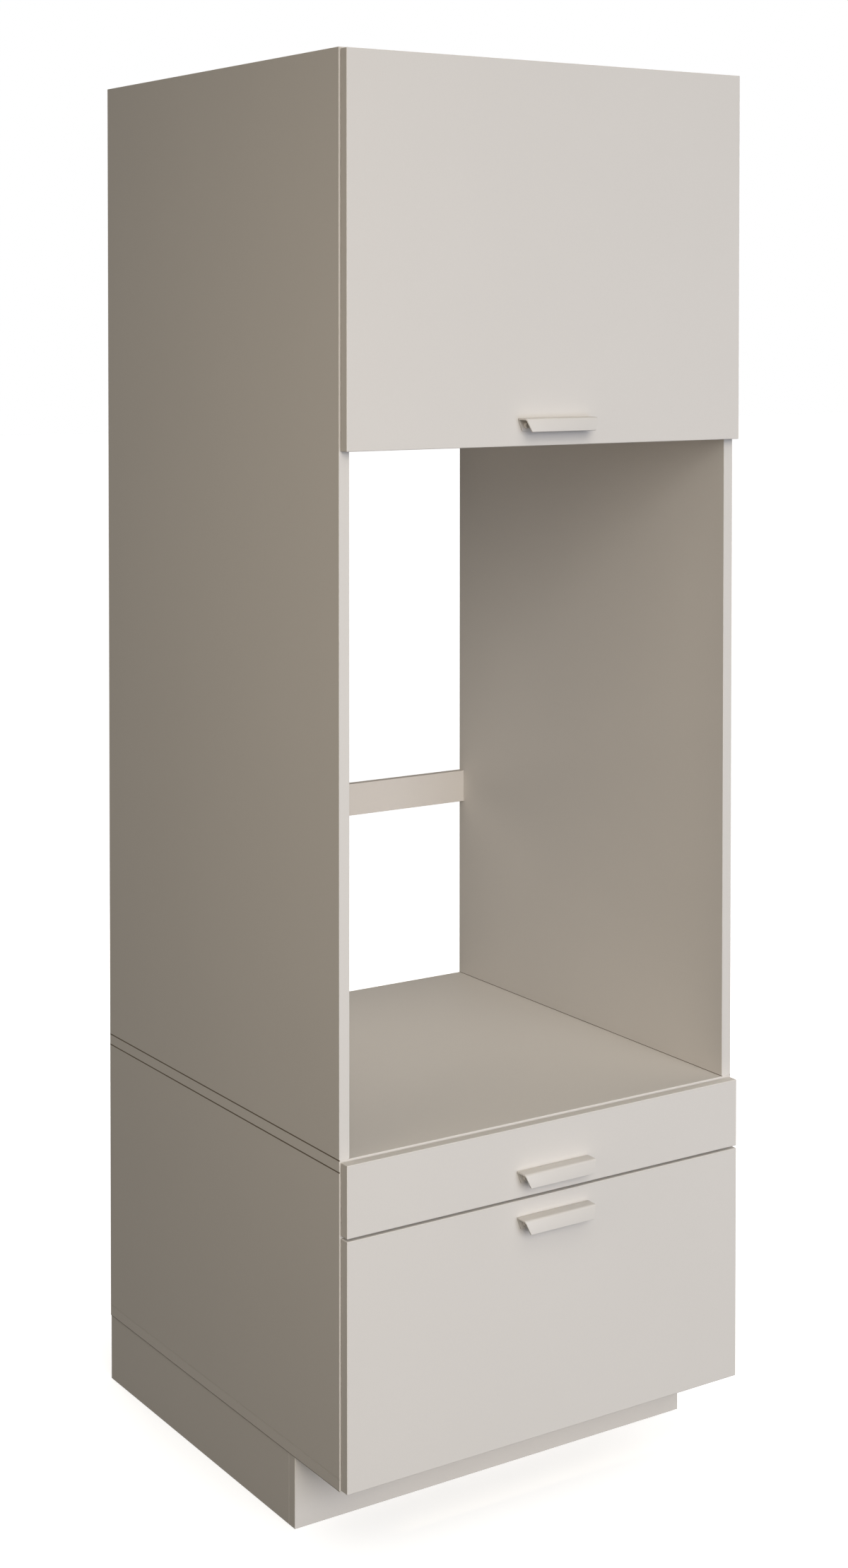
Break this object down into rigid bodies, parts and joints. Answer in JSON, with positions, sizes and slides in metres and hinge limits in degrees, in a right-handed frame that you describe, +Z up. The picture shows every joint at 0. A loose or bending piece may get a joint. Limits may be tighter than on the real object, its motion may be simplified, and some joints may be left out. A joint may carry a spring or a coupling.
{
  "type": "washing machine cabinet",
  "caption": "Tall board cabinet with an open niche for a washing machine above pull-out drawers, and a closed compartment behind a lift-up flap at the top.",
  "frame": {"origin": "on the floor, under the middle of the closed cabinet's box, handles included", "axes": "+X to the right of someone facing the fronts, +Y towards the wall, +Z up"},
  "size_m": [0.675, 0.7226, 2.008],
  "materials": {
    "carcass_laminate": "matt greige laminate on board",
    "front_laminate": "silk-matt greige laminate on board",
    "raw_board": "bare particle board",
    "back_hardboard": "printed hardboard",
    "drawer_laminate": "pale laminate on board",
    "drawer_bottom": "pale laminated board",
    "beech": "fluted beech",
    "handle_paint": "matt powder coat",
    "zinc_steel": "zinc plated",
    "screw_steel": "zinc plated",
    "bright_steel": "ground and polished",
    "zinc_casting": "cast zinc, nickel plated",
    "strut_paint": "black enamel",
    "bumper_rubber": "soft clear rubber"
  },
  "bodies": {
    "carcass": {"plinth_front": "carcass_laminate", "plinth_side_left": "carcass_laminate", "plinth_side_right": "carcass_laminate", "plinth_rear_rail": "raw_board", "plinth_centre_bearer": "raw_board", "plinth_corner_blocks": "raw_board", "bottom_panel": "carcass_laminate", "lower_side_left": "carcass_laminate", "lower_side_right": "carcass_laminate", "niche_floor_panel": "carcass_laminate", "lower_back_panel": "back_hardboard", "upper_side_left": "carcass_laminate", "upper_side_right": "carcass_laminate", "top_panel": "carcass_laminate", "compartment_floor": "carcass_laminate", "compartment_back": "back_hardboard", "niche_rear_rail": "carcass_laminate", "wood_dowels": "beech", "cam_locks": "zinc_casting", "cam_bolts": "screw_steel", "carcass_studs": "screw_steel", "carcass_short_screws": "screw_steel", "wall_brackets": "zinc_steel", "hinge_arms": "zinc_steel", "hinge_plates": "zinc_steel", "strut_side_brackets": "zinc_steel", "upper_drawer_cabinet_rails": "zinc_steel", "lower_drawer_cabinet_rails": "zinc_steel"},
    "flap": {"flap_front": "front_laminate", "flap_handle": "handle_paint", "flap_handle_screws": "screw_steel", "flap_bumpers": "bumper_rubber", "hinge_housings": "zinc_casting", "hinge_pins": "bright_steel", "flap_short_screws": "screw_steel", "strut_flap_brackets": "zinc_steel"},
    "strut_cylinders": {"strut_cylinders": "strut_paint"},
    "strut_rods": {"strut_rods": "bright_steel"},
    "upper_drawer": {"upper_drawer_front": "front_laminate", "upper_drawer_handle": "handle_paint", "upper_drawer_handle_screws": "screw_steel", "upper_drawer_side_left": "drawer_laminate", "upper_drawer_side_right": "drawer_laminate", "upper_drawer_back": "drawer_laminate", "upper_drawer_bottom": "drawer_bottom", "upper_drawer_corner_brackets": "zinc_steel", "upper_drawer_short_screws": "screw_steel", "upper_drawer_drawer_rails": "zinc_steel"},
    "upper_runner_middles": {"upper_drawer_middle_rails": "zinc_steel"},
    "lower_drawer": {"lower_drawer_front": "front_laminate", "lower_drawer_handle": "handle_paint", "lower_drawer_handle_screws": "screw_steel", "lower_drawer_side_left": "drawer_laminate", "lower_drawer_side_right": "drawer_laminate", "lower_drawer_back": "drawer_laminate", "lower_drawer_bottom": "drawer_bottom", "lower_drawer_corner_brackets": "zinc_steel", "lower_drawer_short_screws": "screw_steel", "lower_drawer_drawer_rails": "zinc_steel"},
    "lower_runner_middles": {"lower_drawer_middle_rails": "zinc_steel"}
  },
  "joints": [
    {"name": "flap_lift", "type": "hinge", "parent": "carcass", "child": "flap", "pos_m": [0, -0.32875, 2.00069], "axis": [-1, 0, 0], "range_deg": [0, 90]},
    {"name": "strut_cylinder_swing", "type": "hinge", "parent": "carcass", "child": "strut_cylinders", "pos_m": [0, -0.121, 1.97], "axis": [-1, 0, 0], "range_deg": [0, 45]},
    {"name": "strut_rod_swing", "type": "hinge", "parent": "flap", "child": "strut_rods", "pos_m": [0, -0.30625, 1.7919], "axis": [-1, 0, 0], "range_deg": [-45, 0]},
    {"name": "upper_drawer_slide", "type": "slide", "parent": "carcass", "child": "upper_drawer", "axis": [0, -1, 0], "range_m": [0, 0.56]},
    {"name": "upper_runner_slide", "type": "slide", "parent": "carcass", "child": "upper_runner_middles", "axis": [0, -1, 0], "range_m": [0, 0.28]},
    {"name": "lower_drawer_slide", "type": "slide", "parent": "carcass", "child": "lower_drawer", "axis": [0, -1, 0], "range_m": [0, 0.56]},
    {"name": "lower_runner_slide", "type": "slide", "parent": "carcass", "child": "lower_runner_middles", "axis": [0, -1, 0], "range_m": [0, 0.28]}
  ],
  "couplings": [
    {"joint": "strut_cylinder_swing", "follows": "flap_lift", "ratio": 0.5},
    {"joint": "strut_rod_swing", "follows": "flap_lift", "ratio": -0.5},
    {"joint": "upper_runner_slide", "follows": "upper_drawer_slide", "ratio": 0.5},
    {"joint": "lower_runner_slide", "follows": "lower_drawer_slide", "ratio": 0.5}
  ]
}
